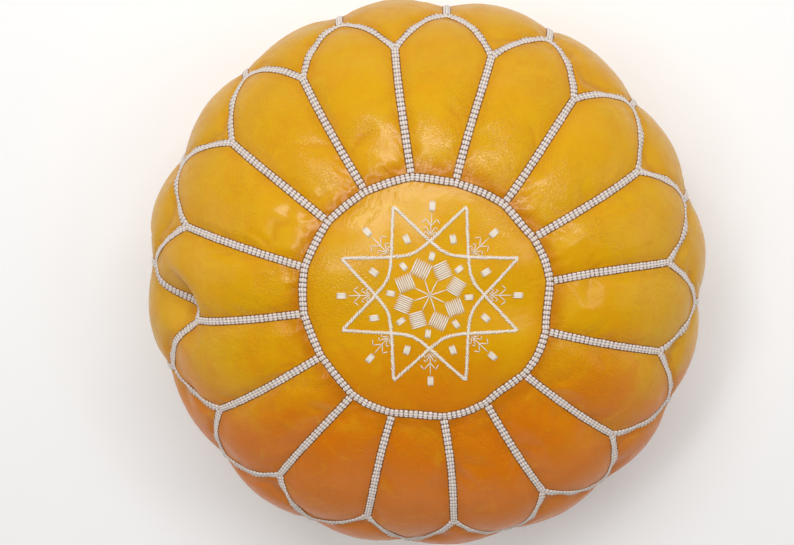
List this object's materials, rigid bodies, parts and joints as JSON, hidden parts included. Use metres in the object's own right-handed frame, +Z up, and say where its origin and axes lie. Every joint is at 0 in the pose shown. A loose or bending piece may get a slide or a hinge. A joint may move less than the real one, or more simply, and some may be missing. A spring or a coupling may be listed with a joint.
{
  "type": "leather pouf",
  "caption": "Round stuffed floor pouf of petal-shaped leather panels with thick hand-stitched seams, an embroidered medallion on top and a zip in its flat base.",
  "frame": {"origin": "centre of the underside, on the floor that the pouf stands on", "axes": "+Z up through the medallion; X along the zip in the base, with the closed end of the zip at +X"},
  "size_m": [0.5548, 0.5548, 0.334],
  "materials": {
    "mustard_leather": "satin",
    "base_leather": "matte",
    "seam_thread": "matte",
    "embroidery_thread": "satin",
    "liner_cotton": "matte",
    "stuffing_fibre": "matte",
    "zip_tape": "matte",
    "zip_brass": "satin"
  },
  "bodies": {
    "pouf": {"medallion_panel": "mustard_leather", "petal_panel_01": "mustard_leather", "petal_panel_02": "mustard_leather", "petal_panel_03": "mustard_leather", "petal_panel_04": "mustard_leather", "petal_panel_05": "mustard_leather", "petal_panel_06": "mustard_leather", "petal_panel_07": "mustard_leather", "petal_panel_08": "mustard_leather", "petal_panel_09": "mustard_leather", "petal_panel_10": "mustard_leather", "petal_panel_11": "mustard_leather", "petal_panel_12": "mustard_leather", "petal_panel_13": "mustard_leather", "petal_panel_14": "mustard_leather", "petal_panel_15": "mustard_leather", "petal_panel_16": "mustard_leather", "side_panel_01": "mustard_leather", "side_panel_02": "mustard_leather", "side_panel_03": "mustard_leather", "side_panel_04": "mustard_leather", "side_panel_05": "mustard_leather", "side_panel_06": "mustard_leather", "side_panel_07": "mustard_leather", "side_panel_08": "mustard_leather", "side_panel_09": "mustard_leather", "side_panel_10": "mustard_leather", "side_panel_11": "mustard_leather", "side_panel_12": "mustard_leather", "side_panel_13": "mustard_leather", "side_panel_14": "mustard_leather", "side_panel_15": "mustard_leather", "side_panel_16": "mustard_leather", "base_panel_front": "base_leather", "base_panel_rear": "base_leather", "medallion_ring_stitching": "seam_thread", "petal_seam_stitching": "seam_thread", "side_seam_stitching": "seam_thread", "star_embroidery": "embroidery_thread", "rosette_embroidery": "embroidery_thread", "inner_liner": "liner_cotton", "stuffing": "stuffing_fibre", "zip_tape_front": "zip_tape", "zip_tape_rear": "zip_tape", "zip_teeth_front": "zip_brass", "zip_teeth_rear": "zip_brass", "zip_stop_open_end": "zip_brass", "zip_stop_front": "zip_brass", "zip_stop_rear": "zip_brass"},
    "zip_slider": {"zip_slider": "zip_brass"},
    "zip_pull": {"zip_pull": "zip_brass"}
  },
  "joints": [
    {"name": "zip_slide", "type": "slide", "parent": "pouf", "child": "zip_slider", "axis": [-1, 0, 0], "range_m": [0, 0.245]},
    {"name": "pull_swing", "type": "hinge", "parent": "zip_slider", "child": "zip_pull", "pos_m": [0.1225, 0, 0.00385], "axis": [0, -1, 0], "range_deg": [0, 170]}
  ]
}
